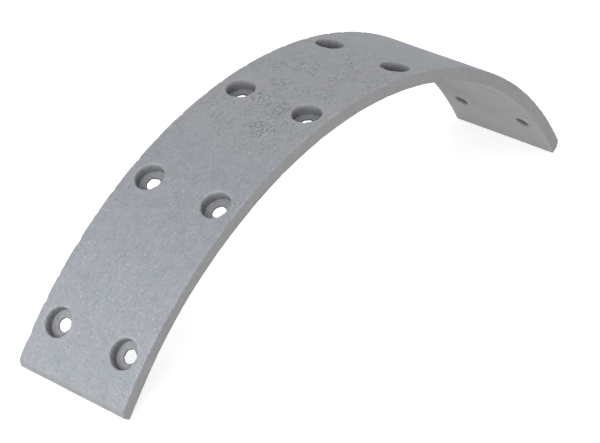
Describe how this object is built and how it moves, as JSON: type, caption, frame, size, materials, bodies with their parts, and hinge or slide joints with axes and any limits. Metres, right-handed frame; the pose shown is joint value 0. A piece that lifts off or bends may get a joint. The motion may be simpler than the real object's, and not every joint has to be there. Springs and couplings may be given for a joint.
{
  "type": "riveted drum brake lining",
  "caption": "Curved strip of moulded friction material with stepped rivet holes in pairs, bevelled at both ends, that lines a drum brake shoe.",
  "frame": {"origin": "the crown of the inner face at mid-width, where the lining beds on its shoe; the drum's axis is parallel to Y, 140 mm below it", "axes": "+Y along the drum's axis, +X along the arc's chord, +Z from the drum's axis out to the crown"},
  "size_m": [0.2408, 0.045, 0.0688],
  "materials": {
    "friction_material": "matt blue-grey moulded friction material with fine pale speckle"
  },
  "bodies": {
    "root": {"lining": "friction_material"}
  },
  "joints": []
}
